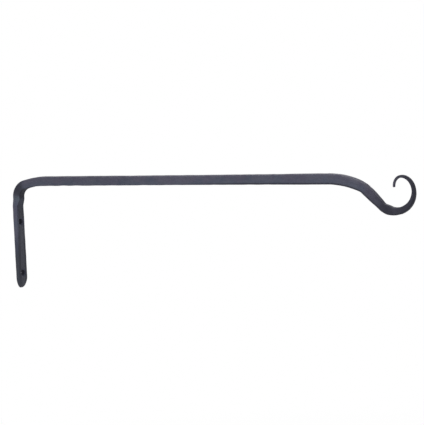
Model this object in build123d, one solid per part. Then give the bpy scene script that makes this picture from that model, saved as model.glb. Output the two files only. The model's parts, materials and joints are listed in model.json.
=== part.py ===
from build123d import *
from collections import namedtuple
from math import ceil, cos, radians, sin
import os

# Wall bracket for a hanging plant, forged in one piece from square bar.
# The lower end is flattened into a screw pad. The bar turns one tight corner, runs
# straight out from the wall, drops over a shoulder, and is drawn out into an upturned
# scroll that the pot's cord or ring hangs in.
#
# Millimetres and degrees. X runs out from the wall, Y across the bar, Z up.
# The origin is midway between the two screw holes, on the pad's flat back.

# Square bar
bar_width = 7.9
arris_radius = 1.2
largest_arris_share = 0.3

# Screw holes and the pad round them
hole_spacing = 45.0
hole_diameter = 4.5
countersink_diameter = 7.3
countersink_angle = 90.0
pad_below_hole = 13.4
pad_above_hole = 17.0
pad_end_thickness = 3.9
pad_top_thickness = 5.2
pad_end_width = 12.6
pad_top_width = 10.45
nose_length = 10.0
nose_edge_thickness = 1.3
set_down_length = 6.0
back_dressing = 0.05

# Short upright above the pad, and the corner between it and the arm
upright_length = 1.5
corner_thickness = 7.65
corner_radius = 11.6
sag_angle = 15.8
sag_radius = 73.0

# Arm, upset towards its outer end, and the shoulder where it turns down
arm_thickness = 7.9
upset_start = 202.0
shoulder_start = 307.0
shoulder_thickness = 8.7
shoulder_radius = 75.0
shoulder_angle = 25.5
neck_radius = 5.0
neck_angle = 43.9
slant_length = 21.1
slant_thickness = 7.5
slant_width = 7.1

# Heel, pinched where the bar turns back up and full again just past it, and the scroll
# drawn out beyond it
heel_radius = 4.1
heel_angle = 34.4
heel_thickness = 6.4
heel_width = 6.2
swell_angle = 19.4
swell_thickness = 7.1
scroll_root_radius = 18.8
scroll_side_radius = 14.8
scroll_side_thickness = 2.8
scroll_side_width = 4.35
crown_angle = 205.5
crown_radius = 5.65
crown_thickness = 2.05
crown_width = 2.8
tip_angle = 270.5
tip_radius = 10.2
tip_thickness = 1.35
tip_width = 2.2
tip_round = 0.55

# Headings, counter-clockwise from straight out of the wall
outward = 0
upward = 90

# How finely curved runs are divided
bend_step = 8
nose_step = 10

# A place on the bar's centreline, with the way the bar heads there and its section
Station = namedtuple("Station", "x z heading thickness width")


def mix(first, last, share):
    return first + (last - first) * share


def section(station):
    """The bar's rounded square section, set square to its heading."""
    along = (cos(radians(station.heading)), 0, sin(radians(station.heading)))
    across = Plane(origin=(station.x, 0, station.z), x_dir=(0, 1, 0), z_dir=along)
    smaller_side = min(station.thickness, station.width)
    arris = min(arris_radius, largest_arris_share * smaller_side)
    return across * RectangleRounded(station.width, station.thickness, arris)


def forge(stations):
    """One stretch of bar through its stations, ruled where there are only two."""
    return loft([section(station) for station in stations], ruled=len(stations) == 2)


def straight(start, length, thickness, width):
    """A straight run whose section changes evenly."""
    heading = radians(start.heading)
    end = Station(start.x + length * cos(heading), start.z + length * sin(heading),
                  start.heading, thickness, width)
    return [start, end]


def bend(start, first_radius, last_radius, heading, thickness, width):
    """A turn of the centreline, up or down, to a new heading. Its radius changes evenly
    with the angle turned, so equal radii make an arc and unequal ones a spiral."""
    turn = radians(heading - start.heading)
    side = 1 if turn > 0 else -1
    shrink = (last_radius - first_radius) / turn
    steps = max(2, ceil(abs(heading - start.heading) / bend_step))
    stations = []
    for step in range(steps + 1):
        share = step / steps
        angle = radians(start.heading) + turn * share
        radius = mix(first_radius, last_radius, share)
        out = side * (radius * sin(angle) + shrink * cos(angle))
        up = side * (shrink * sin(angle) - radius * cos(angle))
        if step == 0:
            first_out, first_up = out, up
        stations.append(Station(start.x + out - first_out, start.z + up - first_up,
                                mix(start.heading, heading, share),
                                mix(start.thickness, thickness, share),
                                mix(start.width, width, share)))
    return stations


def wall_station(height, thickness, width):
    """A section on the wall, proud of it behind by what the back is dressed down."""
    return Station(thickness / 2 - back_dressing, height, upward, thickness, width)


def pad_station(height):
    """The pad's section at a height."""
    share = (height - pad_end) / (pad_top - pad_end)
    thickness = mix(pad_end_thickness, pad_top_thickness, share)
    return wall_station(height, thickness, mix(pad_end_width, pad_top_width, share))


def nose_station(angle):
    """The pad's rounded end, half an ellipse in outline and thinned to an edge. The
    angle runs round the ellipse, from 0 at the very end to 90 where the full pad starts."""
    roundness = sin(radians(angle))
    full = pad_station(pad_end + nose_length * (1 - cos(radians(angle))))
    thickness = mix(nose_edge_thickness, full.thickness, roundness)
    return wall_station(full.z, thickness, full.width * roundness)


# Heights on the wall
upper_hole = hole_spacing / 2
lower_hole = -upper_hole
pad_end = lower_hole - pad_below_hole
pad_top = upper_hole + pad_above_hole

# Pad, from its nose up to the set-down
nose = [nose_station(angle) for angle in range(nose_step, upward + nose_step, nose_step)]
pad = [nose[-1], pad_station(pad_top - set_down_length / 2)]
upright_foot = wall_station(pad_top + set_down_length / 2, corner_thickness, bar_width)
set_down = [pad[-1], upright_foot]

# Bar, from the set-down out to the heel
upright = straight(upright_foot, upright_length, corner_thickness, bar_width)
corner = bend(upright[-1], corner_radius, corner_radius, sag_angle,
              corner_thickness, bar_width)
sag = bend(corner[-1], sag_radius, sag_radius, outward, arm_thickness, bar_width)
arm = straight(sag[-1], upset_start - sag[-1].x, arm_thickness, bar_width)
upset = straight(arm[-1], shoulder_start - arm[-1].x, shoulder_thickness, bar_width)
shoulder = bend(upset[-1], shoulder_radius, shoulder_radius, -shoulder_angle,
                slant_thickness, slant_width)
neck = bend(shoulder[-1], neck_radius, neck_radius, -neck_angle,
            slant_thickness, slant_width)
slant = straight(neck[-1], slant_length, heel_thickness, heel_width)
heel = bend(slant[-1], heel_radius, heel_radius, -heel_angle, heel_thickness, heel_width)
swell = bend(heel[-1], scroll_root_radius, scroll_root_radius, -swell_angle,
             swell_thickness, heel_width)

# Scroll: out to its side, over its crown, and down to the tip
scroll_root = bend(swell[-1], scroll_root_radius, scroll_side_radius, upward,
                   scroll_side_thickness, scroll_side_width)
scroll_crown = bend(scroll_root[-1], scroll_side_radius, crown_radius, crown_angle,
                    crown_thickness, crown_width)
scroll_end = bend(scroll_crown[-1], crown_radius, tip_radius, tip_angle,
                  tip_thickness, tip_width)
tip = straight(scroll_end[-1], tip_round, tip_thickness - tip_round, tip_width - tip_round)

stretches = [nose, pad, set_down, upright, corner, sag, arm, upset, shoulder, neck,
             slant, heel, swell, scroll_root, scroll_crown, scroll_end, tip]
hook = forge(nose)
for stretch in stretches[1:]:
    hook = hook + forge(stretch)

# Back dressed flat, to lie on the wall
hook = split(hook, bisect_by=Plane.YZ, keep=Keep.TOP)

# Screw holes, countersunk from the room side
for height in (lower_hole, upper_hole):
    face = pad_station(height).thickness - back_dressing
    mouth = Plane(origin=(face, 0, height), z_dir=(1, 0, 0))
    hook = hook - mouth * CounterSinkHole(hole_diameter / 2, countersink_diameter / 2,
                                          2 * face, countersink_angle)

os.makedirs("parts", exist_ok=True)
export_step(hook, "parts/forged_hook.step")
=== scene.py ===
import bpy
import json
import numpy as np
from math import radians
from mathutils import Matrix, Vector


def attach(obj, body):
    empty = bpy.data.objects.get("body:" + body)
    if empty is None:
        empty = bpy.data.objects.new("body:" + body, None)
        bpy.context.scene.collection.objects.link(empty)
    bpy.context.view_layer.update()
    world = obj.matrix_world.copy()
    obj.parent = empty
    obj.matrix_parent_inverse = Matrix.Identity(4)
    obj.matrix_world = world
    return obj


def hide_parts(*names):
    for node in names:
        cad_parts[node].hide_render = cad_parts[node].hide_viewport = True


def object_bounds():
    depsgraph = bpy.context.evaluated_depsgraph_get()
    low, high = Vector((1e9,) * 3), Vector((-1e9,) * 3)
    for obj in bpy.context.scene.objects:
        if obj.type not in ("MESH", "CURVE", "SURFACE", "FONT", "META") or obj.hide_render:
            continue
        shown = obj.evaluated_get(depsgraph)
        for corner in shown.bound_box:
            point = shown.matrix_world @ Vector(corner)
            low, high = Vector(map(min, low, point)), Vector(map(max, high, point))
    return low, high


# Forged wall bracket for a hanging plant. Metres, with X out from the wall, Y across
# the bar and Z up. The pad's flat back lies in the plane x = 0.

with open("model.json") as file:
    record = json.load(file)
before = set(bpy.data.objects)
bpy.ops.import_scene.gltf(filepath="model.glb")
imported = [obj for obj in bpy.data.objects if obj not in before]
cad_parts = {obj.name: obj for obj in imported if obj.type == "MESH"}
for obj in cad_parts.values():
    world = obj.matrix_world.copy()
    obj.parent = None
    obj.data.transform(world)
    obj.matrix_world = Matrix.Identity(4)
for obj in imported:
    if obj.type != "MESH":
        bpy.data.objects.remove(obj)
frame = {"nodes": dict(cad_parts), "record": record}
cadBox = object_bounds()
scene = bpy.context.scene
print("frame: nodes", sorted(frame["nodes"]))

screwPattern = next(m for m in frame["record"]["mounts"] if m["name"] == "wall_screws")["dims"]
holeHeights = [side * screwPattern["spacing_y_mm"] / 2000 for side in (-1, 1)]


class Field:
    # one shader socket: an expression on it adds its Math nodes
    def __init__(self, bench, socket):
        self.bench = bench
        self.socket = socket

    def work(self, operation, first, second):
        return self.bench.add("Math", {"operation": operation}, {0: first, 1: second})

    def __add__(self, other):
        return self.work("ADD", self, other)

    def __sub__(self, other):
        return self.work("SUBTRACT", self, other)

    def __rsub__(self, other):
        return self.work("SUBTRACT", other, self)

    def __mul__(self, other):
        return self.work("MULTIPLY", self, other)

    __radd__ = __add__
    __rmul__ = __mul__


class Bench:
    # one node tree, and the single way that a node gets into it
    def __init__(self, tree):
        self.tree = tree
        tree.nodes.clear()

    def add(self, kind, settings=None, sockets=None, output=0):
        node = self.tree.nodes.new("ShaderNode" + kind)
        for name, value in (settings or {}).items():
            if name == "stops":
                self.setStops(node.color_ramp, value)
            else:
                setattr(node, name, value)
        for name, value in (sockets or {}).items():
            if isinstance(value, Field):
                self.tree.links.new(value.socket, node.inputs[name])
            else:
                node.inputs[name].default_value = value
        return Field(self, node.outputs[output]) if len(node.outputs) else node

    def setStops(self, ramp, stops):
        while len(ramp.elements) < len(stops):
            ramp.elements.new(0.5)
        for element, (place, colour) in zip(ramp.elements, stops):
            element.position = place
            element.color = (*colour, 1)

    def eased(self, value, low, high):
        # 0 below low, 1 above high, eased between
        return self.add("MapRange", {"interpolation_type": "SMOOTHSTEP"},
                        {"Value": value, "From Min": low, "From Max": high})

    def blend(self, share, first, second):
        # colours: first where share is 0, second where it is 1
        return self.add("Mix", {"data_type": "RGBA"}, {0: share, 6: first, 7: second},
                        output=2)


# The bar is one line bent in the plane y = 0, from the pad's end to the scroll's tip.
# Each run is straight, with a length, or turns by an angle while its radius changes
# evenly. "section" is the thickness and width that it has reached at its end.
bracket = {
    "name": "forged_bracket",
    "arris": 0.001,             # radius of the bar's softened corners
    "arrisShare": 0.3,          # and the largest share of a thin section that it takes
    "arrisWander": 0.2,         # how unevenly the arrises are hammered
    "wanderWaves": (0.011, 0.017, 0.031),   # wavelengths of that along the bar
    "wanderSeed": 3,
    "padBelowHole": 0.0134,     # from the lower hole's middle to the pad's end
    "padSection": (0.00385, 0.0126),        # thickness and width at the pad's end
    "noseLength": 0.01,
    "noseEdge": 0.0013,         # thickness at the very end
    "noseRound": 0.0007,        # and the reach over which that edge is rounded
    "tipRound": 0.0006,
    "softStep": 0.0001,         # a change of section is softened over this times
    "softSteps": 17,            # this, an odd number
    # a length, or the reach from the wall at which a run ends, or a turn in degrees,
    # less than 0 downwards
    "runs": {
        "pad": {"length": 0.0724, "section": (0.0051, 0.01054)},
        "setDown": {"length": 0.006, "section": (0.0076, 0.0079)},
        "upright": {"length": 0.0015, "section": (0.0076, 0.0079)},
        "corner": {"turn": -74.2, "radii": (0.0116, 0.0116), "section": (0.00765, 0.0079)},
        "sag": {"turn": -15.8, "radii": (0.073, 0.073), "section": (0.0079, 0.0079)},
        "arm": {"reach": 0.202, "section": (0.0079, 0.0079)},
        "upset": {"reach": 0.307, "section": (0.0087, 0.0079)},
        "shoulder": {"turn": -25.5, "radii": (0.075, 0.075), "section": (0.0075, 0.0071)},
        "neck": {"turn": -18.4, "radii": (0.005, 0.005), "section": (0.0075, 0.0071)},
        "slant": {"length": 0.0211, "section": (0.0064, 0.0062)},
        "heel": {"turn": 9.5, "radii": (0.0041, 0.0041), "section": (0.0064, 0.0062)},
        "swell": {"turn": 15, "radii": (0.0188, 0.0188), "section": (0.0071, 0.0062)},
        "scrollRoot": {"turn": 109.4, "radii": (0.0188, 0.0148), "section": (0.0028, 0.00435)},
        "scrollCrown": {"turn": 115.5, "radii": (0.0148, 0.00565),
                        "section": (0.00205, 0.0028)},
        "scrollEnd": {"turn": 65, "radii": (0.00565, 0.0102), "section": (0.00155, 0.0023)},
        "tip": {"length": 0.0007, "section": (0.00155, 0.0023)},
    },
    "flatSteps": 18,            # grid columns on each face of the bar
    "arrisSteps": 6,            # and round each arris
    "fineStep": 0.00046,        # between grid rows on the pad, the bends and the scroll
    "armStep": 0.0008,          # and on the long arm
    "endRows": 26,              # crowded rows at the nose, and a third of them at the tip
    "runSamples": 600,          # places worked out along each run
    "lineSteps": 60000,         # and steps in which the whole line is summed
}

screwHole = {
    "radius": screwPattern["hole_r_mm"] / 1000,
    "sinkRadius": 0.00365,
    "lip": 0.00012,             # softened edge round the countersink
    "lipSteps": (0.4, 0.8),     # shares of its reach at which the lip has a ring
    "backLipSteps": (1, 0.5),   # and the same behind, from the bore out
    "coneRings": 4,
    "fillRings": 4,             # between the hole and the rest of the pad's grid
    "halfHeight": 0.0052,       # of the patch of the pad that carries the hole
    "overArris": 2,             # columns by which the patch reaches over each arris
}

hammer = {
    "seed": 5,
    "blows": {                  # number of them, from run, to run
        "pad": (130, "pad", "upright"),
        "arm": (250, "upright", "neck"),
        "scroll": (90, "neck", "end"),
    },
    "radius": (0.003, 0.0064),
    "depth": (0.00003, 0.00014),
    "stretch": 1.35,            # how much longer than wide the marks lie along the bar
    "aside": 0.8,               # how far off a face's middle a blow lands, of its half
    "fullHalf": 0.0036,         # half section from which marks are full size
    "leastShare": 0.2,          # and their radius on the thinnest, as a share
    "proud": 0.00004,           # how far the bar stands out before it is hammered
    "dressed": 0.004,           # over which the hammering fades at the pad's flat back
    # broad dressing of the top face: run, place past its start, reach, and depth, which
    # is less than 0 where the face stands proud
    "topDressing": [("neck", -0.023, 0.012, -0.0002), ("neck", -0.009, 0.015, -0.00037),
                    ("neck", 0.0115, 0.0145, -0.00038), ("neck", 0.0012, 0.0055, 0.0003),
                    ("heel", -0.001, 0.003, 0.00025), ("heel", 0.0045, 0.0055, -0.00027)],
}


# Middle line of the bar, as places along it with a heading, thickness and width. Where a
# run turns by A while its radius goes from R to S, the length after a share p of the
# turn is A (R p + (S - R) p p / 2). Out is the sum of cos of the heading.
def middleLine(size):
    place, heading, section = 0.0, 90.0, np.array(size["padSection"])
    out = size["runs"]["upright"]["section"][0] / 2     # from the wall, on the upright
    share = np.linspace(0, 1, size["runSamples"])[:, None]
    line, starts = [], {}
    for name, run in size["runs"].items():
        starts[name] = place
        first, last = run.get("radii", (0, 0))
        turn = run.get("turn", 0)
        arc = abs(radians(turn)) * (first * share + (last - first) * share ** 2 / 2)
        straight = run.get("length", run.get("reach", out) - out) * share
        sections = section + (np.array(run["section"]) - section) * share
        line.append(np.hstack([place + arc + straight, heading + turn * share, sections]))
        steps = np.diff(line[-1][:, 0])
        headings = np.radians(line[-1][:, 1])
        out += (steps * np.cos((headings[1:] + headings[:-1]) / 2)).sum()
        place, heading = line[-1][-1, :2]
        section = np.array(run["section"])
    starts["end"] = place
    return np.vstack(line), starts


# Places of the grid's rows: crowded as 1 - cos(a) at the rounded nose and the tip, close
# on the worked parts and wider on the arm.
def rowPlaces(size, starts):
    quarter = np.linspace(0, np.pi / 2, size["endRows"])
    nose = size["noseLength"] * (1 - np.cos(quarter))
    tipReach = 2 * size["tipRound"]
    tip = starts["end"] - tipReach * (1 - np.cos(quarter[::-3]))

    def spaced(first, last, step):
        return np.linspace(first, last, int(np.ceil((last - first) / step)) + 1)[1:]

    worked = spaced(nose[-1], starts["arm"], size["fineStep"])
    arm = spaced(worked[-1], starts["shoulder"], size["armStep"])
    scroll = spaced(arm[-1], tip[0], size["fineStep"])
    return np.concatenate([nose, worked, arm, scroll, tip[1:]])


# Rises as a quarter circle from 0 at an end to 1 at a reach inwards
def rounded(distance, reach):
    return np.sqrt(1 - (1 - np.clip(distance / reach, 0, 1)) ** 2)


# Profile of the bar: a square with rounded corners, as a middle point that runs along
# the straight sides and a unit normal that turns at the corners. Both are (across,
# through) pairs, and the outline is middle (half size - arris) + normal arris.
def barProfile(flatSteps, arrisSteps):
    side = np.linspace(-1, 1, flatSteps + 1)[:, None]
    turn = np.linspace(0, np.pi / 2, arrisSteps + 1)[1:-1, None]
    middle, normal = [], []
    for across, through in ((1, 0), (0, 1), (-1, 0), (0, -1)):
        outward = np.array([across, through])
        along = np.array([-through, across])
        middle += [outward + side * along, np.tile(outward + along, (len(turn), 1))]
        normal += [np.tile(outward, (len(side), 1)),
                   np.cos(turn) * outward + np.sin(turn) * along]
    return np.concatenate(middle), np.concatenate(normal)


# Smooth uneven curve along the bar, from -1 to 1: a mean of sines of random phase
def wander(places, wavelengths, seed):
    draw = np.random.default_rng(seed)
    phases = draw.uniform(0, 2 * np.pi, len(wavelengths))
    waves = np.sin(2 * np.pi * places[:, None] / np.array(wavelengths) + phases)
    return waves.mean(1)


# Depth of the hammer's marks at points (along, across, through) of the straightened bar:
# each blow is a bowl, depth (1 - d d / (r r)) squared, on the side that it struck, and
# the dressing has the same form along the top face alone. The pad's back keeps none.
def hammerDepth(points, normals, halfSize, starts):
    draw = np.random.default_rng(hammer["seed"])
    depth = np.full(len(points), -hammer["proud"])
    for count, first, last in hammer["blows"].values():
        for blow in range(count):
            struck = draw.integers(4)
            place = draw.uniform(starts[first], starts[last])
            aside = draw.uniform(-hammer["aside"], hammer["aside"])
            size, strength = draw.uniform(), draw.uniform()
            half = halfSize(place)
            small = min(1, half.min() / hammer["fullHalf"])
            face = np.array([(1, 0), (0, 1), (-1, 0), (0, -1)][struck])
            centre = half * (face + aside * np.abs(face[::-1]))
            radius = np.interp(size, (0, 1), hammer["radius"])
            radius *= hammer["leastShare"] + (1 - hammer["leastShare"]) * small
            bowl = np.interp(strength, (0, 1), hammer["depth"]) * small
            gap = ((points[:, 0] - place) / hammer["stretch"]) ** 2
            gap += ((points[:, 1:] - centre) ** 2).sum(1)
            mark = np.clip(1 - gap / radius ** 2, 0, 1) ** 2
            depth += bowl * mark * np.clip(normals @ face, 0, 1)
    for run, shift, reach, bowl in hammer["topDressing"]:
        mark = np.clip(1 - ((points[:, 0] - starts[run] - shift) / reach) ** 2, 0, 1) ** 2
        depth += bowl * mark * np.clip(normals[:, 1], 0, 1)
    backed = np.clip((starts["upright"] - points[:, 0]) / hammer["dressed"], 0, 1)
    return depth * (1 - backed * np.clip(normals[:, 1], 0, 1))


# Thickness and width at the rows, and how far the line stands from the wall. A running
# mean softens the changes of section, as hammering does, and the ends are rounded.
def sectionsAt(size, line, starts, places):
    dense = np.arange(0, starts["end"], size["softStep"])
    kernel = np.hanning(size["softSteps"])
    kernel = kernel / kernel.sum()

    def softened(column):
        values = np.interp(dense, line[:, 0], line[:, column])
        values = np.pad(values, len(kernel) // 2, mode="edge")
        return np.interp(places, dense, np.convolve(values, kernel, mode="valid"))

    thickness, width = softened(2), softened(3)
    nose = rounded(places, size["noseLength"])
    tip = rounded(starts["end"] - places, size["tipRound"])
    thickness = size["noseEdge"] + (thickness - size["noseEdge"]) * nose
    onWall = places < starts["upright"]
    fromWall = np.where(onWall, thickness, size["runs"]["upright"]["section"][0]) / 2
    thickness = thickness * rounded(places, size["noseRound"]) * tip
    return thickness, width * nose * tip, fromWall


# The line in the bracket's frame: the sums of cos and sin of its heading over fine
# steps, read at the rows, and the heading there
def lineAt(size, line, starts, places):
    fine = np.linspace(0, starts["end"], size["lineSteps"])
    heading = np.radians(np.interp(fine, line[:, 0], line[:, 1]))
    halfway = (heading[1:] + heading[:-1]) / 2
    out = np.cos(halfway).cumsum() * fine[1]
    up = np.sin(halfway).cumsum() * fine[1]
    return (np.interp(places, fine[1:], out), np.interp(places, fine[1:], up, left=0),
            np.interp(places, fine, heading))


# Grid points round a patch, as rows and as columns counted from the face's first one:
# along the low row, up one side, back along the high row and down the other side
def patchLoop(low, high, first, last):
    across, upward = np.arange(first, last + 1), np.arange(low, high + 1)
    rows = np.concatenate([np.full(len(across), low), upward[1:],
                           np.full(len(across) - 1, high), upward[-2:0:-1]])
    columns = np.concatenate([across, np.full(len(upward) - 1, last),
                              across[-2::-1], np.full(len(upward) - 2, first)])
    return rows, columns


# Rings of a screw hole between a loop of the pad's front and one of its back: over the
# countersink's lip, down its cone and bore, and out behind. Each is a circle, hole +
# radius sin(turn) along and radius cos(turn) across, at a depth from the front or back.
def holeRings(hole, front, back, halfThickness):
    turn = np.arctan2(front[:, 0] - hole, front[:, 1])

    def ring(radius, depth, fromFront=True):
        place = hole + radius * np.sin(turn)
        side = halfThickness(place)
        through = depth - side if fromFront else side - depth
        return np.stack([place, radius * np.cos(turn), through], 1)

    lip, bore, sink = screwHole["lip"], screwHole["radius"], screwHole["sinkRadius"]
    fill = np.linspace(0, 1, screwHole["fillRings"] + 1)
    cone = np.linspace(0, 1, screwHole["coneRings"] + 1)
    rim, backRim = ring(sink + lip, 0), ring(bore + lip, 0, fromFront=False)
    facing = np.tile((0.0, -1.0), (len(turn), 1))
    rings = [(front * (1 - share) + rim * share, facing) for share in fill[1:]]
    rings += [(ring(sink + lip * (1 - bend), lip * bend ** 2), facing * (1 - bend))
              for bend in screwHole["lipSteps"]]
    rings += [(ring(sink + (bore - sink) * share, lip + (sink - bore) * share), facing * 0)
              for share in cone[1:]]
    rings += [(ring(bore + lip * (1 - bend) ** 2, lip * bend, fromFront=False), facing * 0)
              for bend in screwHole["backLipSteps"]]
    rings += [(backRim * (1 - share) + back * share, facing * -share) for share in fill[:-1]]
    return [points for points, sides in rings], [sides for points, sides in rings]


# A mesh with values at its points: one number or a vector each
def fieldMesh(name, points, faces, fields):
    mesh = bpy.data.meshes.new(name)
    mesh.from_pydata(points.tolist(), [], faces)
    for field, values in fields.items():
        kind, key = ("FLOAT", "value") if values.ndim == 1 else ("FLOAT_VECTOR", "vector")
        mesh.attributes.new(field, kind, "POINT").data.foreach_set(
            key, values.astype(np.float32).ravel())
    mesh.shade_smooth()
    return mesh


# One closed surface. A grid point is line(along) + across Y + through N(along), less the
# hammer's depth along the normal, where N is square to the line. A patch of the pad's
# front and back is left out round each screw hole, and rings go down into the hole.
def forgeBracket(size):
    line, starts = middleLine(size)
    places = rowPlaces(size, starts)
    thickness, width, fromWall = sectionsAt(size, line, starts, places)
    lineOut, lineUp, lineAngle = lineAt(size, line, starts, places)
    lowEnd = holeHeights[0] - size["padBelowHole"]

    # the bar straightened: rows of its profile, between a point at each end
    arris = np.minimum(size["arris"], size["arrisShare"] * np.minimum(width, thickness))
    uneven = wander(places, size["wanderWaves"], size["wanderSeed"])
    arris = arris * (1 + size["arrisWander"] * uneven)
    profile, profileNormal = barProfile(size["flatSteps"], size["arrisSteps"])
    half = np.stack([width, thickness], 1) / 2
    outline = profile * (half - arris[:, None])[:, None] + profileNormal * arris[:, None, None]
    along = np.broadcast_to(places[:, None, None], outline.shape[:2] + (1,))
    grid = np.concatenate([along, outline], 2)[1:-1]
    gridSides = np.broadcast_to(profileNormal, outline.shape)[1:-1]
    rows, columns = grid.shape[:2]
    index = np.arange(rows * columns).reshape(rows, columns)
    grid = grid.reshape(-1, 3)
    poles = np.array([[places[0], 0, 0], [places[-1], 0, 0]])
    startPole, endPole = rows * columns, rows * columns + 1
    points, sides = [grid, poles], [gridSides.reshape(-1, 2), np.zeros((2, 2))]

    def halfSize(place):
        return np.array([np.interp(place, places, side) for side in half.T])

    # screw holes, in patches of the columns of the pad's front and back
    keep = np.ones((rows - 1, columns), bool)
    quads, used = [], endPole + 1
    face, over = size["flatSteps"], screwHole["overArris"]
    back = face + size["arrisSteps"]
    front = 3 * back
    for height in holeHeights:
        hole = height - lowEnd
        reach = np.array([-screwHole["halfHeight"], screwHole["halfHeight"]])
        low, high = np.searchsorted(places[1:-1], hole + reach)
        keep[low:high, front - over:front + face + over] = False
        keep[low:high, back - over:back + face + over] = False
        loopRow, loopColumn = patchLoop(low, high, -over, face + over)
        outer = index[loopRow, (front + loopColumn) % columns]
        inner = index[loopRow, back + face - loopColumn]
        rings, ringSides = holeRings(hole, grid[outer], grid[inner],
                                     lambda place: halfSize(place)[1])
        count = len(outer)
        levels = [outer] + [used + level * count + np.arange(count)
                            for level in range(len(rings))] + [inner]
        used += count * len(rings)
        points += rings
        sides += ringSides
        for upper, lower in zip(levels, levels[1:]):
            quads.append(np.stack([upper, np.roll(upper, -1), np.roll(lower, -1), lower], 1))

    beside = np.roll(index, -1, 1)
    tube = np.stack([index[:-1], beside[:-1], beside[1:], index[1:]], 2)
    quads = np.concatenate(quads + [tube[keep]])
    start, end = np.full(columns, startPole), np.full(columns, endPole)
    fans = np.concatenate([np.stack([start, beside[0], index[0]], 1),
                           np.stack([end, index[-1], beside[-1]], 1)])

    # hammered, and bent along the line
    points, sides = np.concatenate(points), np.concatenate(sides)
    at = points[:, 0]
    fromArris = np.hypot(*(halfSize(at) - np.abs(points[:, 1:]).T))
    depth = hammerDepth(points, sides, halfSize, starts)
    aside, through = (points[:, 1:] - depth[:, None] * sides).T
    angle = np.interp(at, places, lineAngle)
    placed = np.stack([
        np.interp(at, places, lineOut + fromWall) - np.sin(angle) * through, aside,
        np.interp(at, places, lineUp + lowEnd) + np.cos(angle) * through], 1)

    mesh = fieldMesh(size["name"], placed, quads.tolist() + fans.tolist(), {
        "barSpace": points,     # along the bar, across it and through it
        "barFacing": np.concatenate([points[:, :1] * 0, sides], 1),
        "fromArris": fromArris})
    piece = bpy.data.objects.new(size["name"], mesh)
    scene.collection.objects.link(piece)
    return piece, starts


hook, runStarts = forgeBracket(bracket)
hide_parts("forged_hook")
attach(hook, "root")
print("bracket:", len(hook.data.polygons), "faces")


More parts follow.
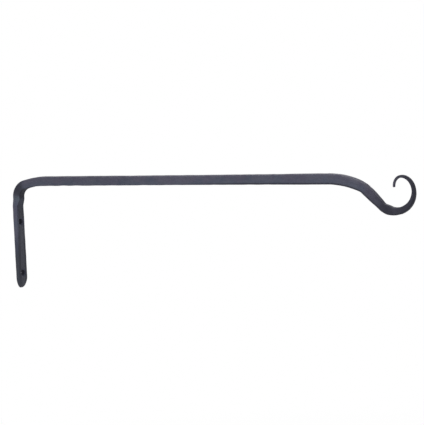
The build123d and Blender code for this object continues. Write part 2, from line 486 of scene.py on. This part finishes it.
finish = {
    "blue": (0.06, 0.069, 0.103),
    "plum": (0.073, 0.067, 0.1),
    "padFrontShade": (0.055, 0.056, 0.067),     # the pad's front: painted shade, darker and greyer than the coat
    "sideGrey": (0.033, 0.038, 0.047),      # the pad's sides, at its end
    "sideNavy": (0.036, 0.041, 0.062),      # and further up
    "stepHighlight": (0.062, 0.081, 0.1),           # a greener, lighter painted highlight on the sides at the set-down
    "scale": (0.0235, 0.0238, 0.035),       # dark fire scale, where the coat is thin; also the colour of the painted shade inside the corner, beside the pad's front edges, low on the arm and in the screw holes
    "worn": (0.115, 0.12, 0.15),            # upper arrises and rubbed patches
    "roughness": (0.5, 0.72),
    "specular": 0.2,
    # how much of each turns the coat from blue to plum, lights it up, and smooths it
    "tint": {"patches": 0.5, "streaks": 0.3, "level": 28.0, "pastNeck": 0.2, "base": 0.1},
    "light": {"mottle": 0.55, "streaks": 0.45, "base": 0.01},
    "smoothing": {"mottle": 0.6, "rubbed": 0.4},
    "rubbedShare": 0.3,
    # noises over the surface: how many to a metre, detail and roughness
    "noises": {
        "drift": (34.0, 2.0, 0.5),
        "patches": (85.0, 3.0, 0.5),
        "mottle": (230.0, 4.0, 0.6),
        "specks": (1500.0, 2.0, 0.5),
        "streaks": (520.0, 3.0, 0.5),
        "grain": (1000.0, 4.0, 0.6),
        "pits": (420.0, 2.0, 0.5),
    },
    "streakSqueeze": 0.16,      # of places along the bar, which draws the streaks out
    # how high each stands, or how deep the pits go
    "relief": {"grain": 0.00009, "streaks": 0.00006, "mottle": 0.00016, "pits": 0.00009},
    # rise from 0 at the first value of a noise to the share at the second
    "masks": {
        "plum": (0.36, 0.64, 1.0),
        "lightMottle": (0.32, 0.68, 0.34),
        "lightDrift": (0.36, 0.64, 0.2),
        "darkSpecks": (0.6, 0.75, 0.3),
        "darkMottle": (0.5, 0.68, 0.24),
        "bloomMottle": (0.35, 0.6, 1.0),
        "rubbedMottle": (0.42, 0.62, 1.0),
        "edgeMottle": (0.35, 0.6, 0.45),
        "smooth": (0.3, 0.7, 1.0),
        "pits": (0.54, 0.7, 1.0),
    },
    # the same over the distance from the nearest arris
    "arrises": {
        "sideTone": (0.0026, 0.0016, 1.0),      # carried over from the pad's sides
        "rubbed": (0.0012, 0.0003, 1.0),
        "padEdge": (0.0038, 0.0024, 1.0),
        "padArris": (0.0003, 0.0014, 0.6),
        "armLow": (0.0022, 0.0008, 0.85),
    },
    # how well the coat covers the scale, from the pad's end to the scroll's tip
    "cover": [("pad", 0.0, 0.94), ("pad", 0.045, 0.93), ("setDown", -0.004, 1.0),
              ("upright", 0.0, 0.9), ("corner", 0.0015, 0.44), ("corner", 0.006, 0.12),
              ("sag", -0.004, 0.22), ("sag", 0.0, 0.7), ("arm", 0.02, 0.74),
              ("arm", 0.055, 0.68), ("arm", 0.1, 0.84), ("arm", 0.14, 1.0),
              ("upset", 0.03, 0.88), ("shoulder", -0.01, 1.0), ("neck", -0.004, 1.0),
              ("slant", 0.004, 0.77), ("heel", -0.004, 0.42), ("heel", 0.003, 0.21),
              ("scrollRoot", 0.006, 0.38), ("scrollRoot", 0.014, 0.26),
              ("scrollRoot", 0.025, 0.26), ("scrollCrown", 0.0, 0.13),
              ("scrollCrown", 0.02, 0.38), ("end", 0.0, 0.85)],
    "coverMottle": 0.5,         # and how much the mottling and patches break it up
    "coverPatches": 0.35,
    # along the bar: rises over the first two, falls over the last two, and share
    "padSides": (-0.002, -0.001, 0.036, 0.052, 0.85),
    "padFront": (-0.002, -0.001, 0.066, 0.078, 0.8),
    "padEdges": (-0.002, -0.001, 0.066, 0.078, 0.75),
    "padCrown": (0.036, 0.056, 0.078, 0.084, 1.0),
    "stepHighlightSpan": (0.0735, 0.0775, 0.079, 0.083, 0.7),
    "crookShade": (0.048, 0.07, 0.09, 0.105, 0.45),      # painted shade inside the corner, on the pad's front and the arm's underside
    "neckLight": (-0.016, -0.008, -0.006, -0.001, 0.3),     # past the neck's start
    # and where a change starts and ends
    "padNavy": (0.026, 0.034),
    "slantPlum": 0.004,         # from the neck's start to this far past the slant's
    "outerArm": (0.12, 0.04),   # past the arm's start, and past the upset's
    "upperSide": (0.0, 0.001),  # through the bar from its middle
    "lowerSide": (-0.0002, -0.0012),
    "facingUnder": (-0.2, -0.9),    # the pad's front and the bar's underside
    "holeScaleAndShade": (0.0027, 0.0036, 1.25),    # full within, gone beyond, and how oval
}


def forgedFinish(look, starts):
    material = bpy.data.materials.new("forgedFinish")
    material.use_nodes = True
    bench = Bench(material.node_tree)
    place = bench.add("Attribute", {"attribute_name": "barSpace"}, output="Vector")
    facing = bench.add("Attribute", {"attribute_name": "barFacing"}, output="Vector")
    fromArris = bench.add("Attribute", {"attribute_name": "fromArris"}, output="Fac")
    along = bench.add("SeparateXYZ", None, {0: place}, output="X")
    level = bench.add("SeparateXYZ", None, {0: place}, output="Z")
    across = bench.add("Math", {"operation": "ABSOLUTE"},
                       {0: bench.add("SeparateXYZ", None, {0: facing}, output="Y")})
    through = bench.add("SeparateXYZ", None, {0: facing}, output="Z")
    drawn = bench.add("VectorMath", {"operation": "MULTIPLY"},
                      {0: place, 1: (look["streakSqueeze"], 1, 1)})

    def noise(name, at=place):
        scale, detail, roughness = look["noises"][name]
        return bench.add("TexNoise", None, {"Vector": at, "Scale": scale, "Detail": detail,
                                            "Roughness": roughness})

    def mask(name, value):
        low, high, share = look["masks"][name]
        return bench.eased(value, low, high) * share

    def nearArris(name):
        none, full, share = look["arrises"][name]
        return bench.eased(fromArris, none, full) * share

    def between(name, start=0.0):
        rise, full, fall, gone, share = look[name]
        rising = bench.eased(along, start + rise, start + full)
        return rising * bench.eased(along, start + gone, start + fall) * share

    def paint(share, under, name):
        return bench.blend(share, under, look[name] + (1,))

    # the coat: plum above and blue below, broken up by patches, streaks and mottling
    drift, patches, mottle = noise("drift"), noise("patches"), noise("mottle")
    specks, streaks = noise("specks"), noise("streaks", drawn)
    pastNeck = bench.eased(along, starts["neck"], starts["slant"] + look["slantPlum"])
    of = look["tint"]
    tint = patches * of["patches"] + streaks * of["streaks"] + level * of["level"]
    tint = tint + pastNeck * of["pastNeck"] + of["base"]
    coat = paint(mask("plum", tint), look["blue"] + (1,), "plum")
    under = bench.eased(through, *look["facingUnder"])
    front = under * (1 - nearArris("sideTone") * between("padCrown"))
    # painted shade: the pad's front face, turned from the key lamp, is painted darker and
    # greyer
    coat = paint(front * between("padFront"), coat, "padFrontShade")
    of = look["light"]
    light = mask("lightMottle", mottle * of["mottle"] + streaks * of["streaks"])
    light = light + mask("lightDrift", drift) - look["masks"]["lightDrift"][2] / 2
    light = light + between("neckLight", starts["neck"]) + of["base"]
    coat = paint(light, coat, "worn")
    coat = paint(mask("darkSpecks", specks) + mask("darkMottle", mottle), coat, "scale")

    # scale where the coat is thin, painted shade inside the corner, a painted highlight at the
    # set-down, and other tones on the pad
    stops = sorted(((starts[run] + shift) / starts["end"], (value,) * 3)
                   for run, shift, value in look["cover"])
    cover = bench.add("ValToRGB", {"stops": stops}, {0: along * (1 / starts["end"])})
    # the corner's painted shade takes cover away, so the scale colour shows there
    cover = cover - under * between("crookShade") + (mottle - 0.5) * look["coverMottle"]
    cover = bench.eased(cover + (patches - 0.5) * look["coverPatches"], 0.0, 1.0)
    colour = bench.blend(cover, look["scale"] + (1,), coat)
    # painted highlight on the bar's sides at the set-down, where its section changes
    stepHighlight = across * between("stepHighlightSpan") * mask("bloomMottle", mottle)
    colour = paint(stepHighlight, colour, "stepHighlight")
    sideTone = paint(bench.eased(along, *look["padNavy"]), look["sideGrey"] + (1,), "sideNavy")
    colour = bench.blend(across * between("padSides"), colour, sideTone)

    # arrises: rubbed lighter above and at the back, and painted shade, in the scale colour,
    # beside the pad's front edges and low on the arm's outer half
    upper = bench.eased(level, *look["upperSide"]) * mask("rubbedMottle", mottle)
    rubbed = nearArris("rubbed") * upper * (1 - pastNeck)
    colour = paint(rubbed * look["rubbedShare"], colour, "worn")
    # painted shade on the pad's front beside its side arrises, weakest right at the arris, in
    # the scale colour
    padEdge = front * nearArris("padEdge") * between("padEdges")
    padEdge = padEdge * (nearArris("padArris") + 1 - look["arrises"]["padArris"][2])
    padEdge = padEdge * (mask("edgeMottle", mottle) + 1 - look["masks"]["edgeMottle"][2])
    pastArm, pastUpset = look["outerArm"]
    # painted shade on the lower arris of the arm's outer half, in the scale colour
    armLow = bench.eased(along, starts["arm"] + pastArm, starts["upset"] + pastUpset) * across
    armLow = armLow * bench.eased(level, *look["lowerSide"]) * nearArris("armLow")
    colour = paint(padEdge + armLow, colour, "scale")

    # scale colour in the screw holes and their countersinks, up to an oval round each: partly
    # scale, partly painted shade in the recesses
    full, gone, stretch = look["holeScaleAndShade"]
    oval = bench.add("VectorMath", {"operation": "MULTIPLY"}, {0: place, 1: (stretch, 1, 0)})
    for height in holeHeights:
        axis = ((height - holeHeights[0] + bracket["padBelowHole"]) * stretch, 0, 0)
        away = bench.add("VectorMath", {"operation": "DISTANCE"}, {0: oval, 1: axis},
                         output="Value")
        colour = paint(bench.eased(away, gone, full), colour, "scale")

    smooth, rough = look["roughness"]
    of = look["smoothing"]
    worn = mask("smooth", mottle * of["mottle"] + rubbed * of["rubbed"])
    roughness = rough - worn * (rough - smooth)
    of = look["relief"]
    relief = noise("grain") * of["grain"] + streaks * of["streaks"] + mottle * of["mottle"]
    relief = relief - mask("pits", noise("pits")) * of["pits"]
    bump = bench.add("Bump", None, {"Height": relief, "Distance": 1.0, "Strength": 1.0})
    shader = bench.add("BsdfPrincipled", None, {
        "Base Color": colour, "Roughness": roughness, "Normal": bump,
        "Specular IOR Level": look["specular"]})
    bench.add("OutputMaterial", None, {"Surface": shader})
    return material


hook.data.materials.append(forgedFinish(finish, runStarts))
print("finish: forgedFinish")


studio = {
    "floorDrop": 0.32,          # below the bracket's lowest point
    "floorSize": 14.0,
    "floorWhite": 0.9,
    "nearWhite": 0.6,           # share of plain white under the bracket
    "whiteFrom": (0.5, 1.3),    # how far off it fades to white all over
    "ambient": 0.5,             # strength of the white all round
    "lamps": {
        # where it stands from the bracket's middle, its size, and its power in watts
        "key": ((-0.7, -1.6, 1.5), 1.3, 26.0),
        "fill": ((1.6, -1.1, 0.7), 1.2, 1.5),
        "back": ((-0.4, 1.7, 1.1), 1.3, 12.0),
    },
}
view = {
    "azimuth": 29.7,            # degrees round from looking along Y
    "elevation": 5.31,
    "roll": 3.02,
    "distance": 1.96,
    "lens": 198.0,
    "sensor": 36.0,
    "aim": (0.1952, 0.0045, 0.03),      # point in the picture's middle
}


def seenBackground(bench):
    # 1 where the camera sees it, straight, in a reflection or through glass
    seen = bench.add("LightPath", output="Is Camera Ray")
    for way in ("Is Glossy Ray", "Is Transmission Ray"):
        seen = seen.work("MAXIMUM", seen, bench.add("LightPath", output=way))
    return seen


def setStudio(look, low, centre):
    world = bpy.data.worlds.new("studioWhite")
    world.use_nodes = True
    scene.world = world
    bench = Bench(world.node_tree)
    strength = seenBackground(bench) * (1 - look["ambient"]) + look["ambient"]
    shade = bench.add("Background", None, {"Color": (1, 1, 1, 1), "Strength": strength})
    bench.add("OutputWorld", None, {"Surface": shade})

    reach = look["floorSize"] / 2
    corners = [(centre[0] + x * reach, y * reach, low - look["floorDrop"])
               for x, y in ((-1, -1), (1, -1), (1, 1), (-1, 1))]
    mesh = bpy.data.meshes.new("floor")
    mesh.from_pydata(corners, [], [(0, 1, 2, 3)])
    floor = bpy.data.objects.new("floor", mesh)
    scene.collection.objects.link(floor)
    material = bpy.data.materials.new("paleFloor")
    material.use_nodes = True
    bench = Bench(material.node_tree)
    white = (look["floorWhite"],) * 3 + (1,)
    matte = bench.add("BsdfDiffuse", None, {"Color": white})
    glow = bench.add("Emission", None, {"Color": (1, 1, 1, 1), "Strength": 1.0})
    # pure white far off, and nearer the bracket a share of it that leaves its shadow
    place = bench.add("TexCoord", output="Object")
    away = bench.add("VectorMath", {"operation": "DISTANCE"},
                     {0: place, 1: (centre[0], centre[1], low)}, output="Value")
    plain = bench.eased(away, *look["whiteFrom"]) * (1 - look["nearWhite"]) + look["nearWhite"]
    shade = bench.add("MixShader", None, {0: seenBackground(bench) * plain, 1: matte, 2: glow})
    bench.add("OutputMaterial", None, {"Surface": shade})
    mesh.materials.append(material)

    for name, (stand, size, power) in look["lamps"].items():
        lamp = bpy.data.lights.new(name, "AREA")
        lamp.size = size
        lamp.energy = power
        holder = bpy.data.objects.new(name, lamp)
        spot = Vector(stand)
        holder.matrix_world = (Matrix.Translation(spot + centre)
                               @ (-spot).to_track_quat("-Z", "Y").to_matrix().to_4x4())
        holder.visible_camera = False
        scene.collection.objects.link(holder)


def setCamera(look):
    camera = bpy.data.objects.new("camera", bpy.data.cameras.new("camera"))
    camera.data.sensor_width = look["sensor"]
    camera.data.lens = look["lens"]
    turn = (Matrix.Rotation(radians(look["azimuth"]), 4, "Z")
            @ Matrix.Rotation(radians(90 - look["elevation"]), 4, "X")
            @ Matrix.Rotation(radians(-look["roll"]), 4, "Z"))
    back = turn.to_3x3() @ Vector((0, 0, look["distance"]))
    camera.matrix_world = Matrix.Translation(Vector(look["aim"]) + back) @ turn
    scene.collection.objects.link(camera)
    scene.camera = camera


low, high = (Vector(corner) for corner in cadBox)
setStudio(studio, low.z, (low + high) / 2)
setCamera(view)
scene.view_settings.view_transform = "Standard"
print("studio: lamps", sorted(studio["lamps"]))
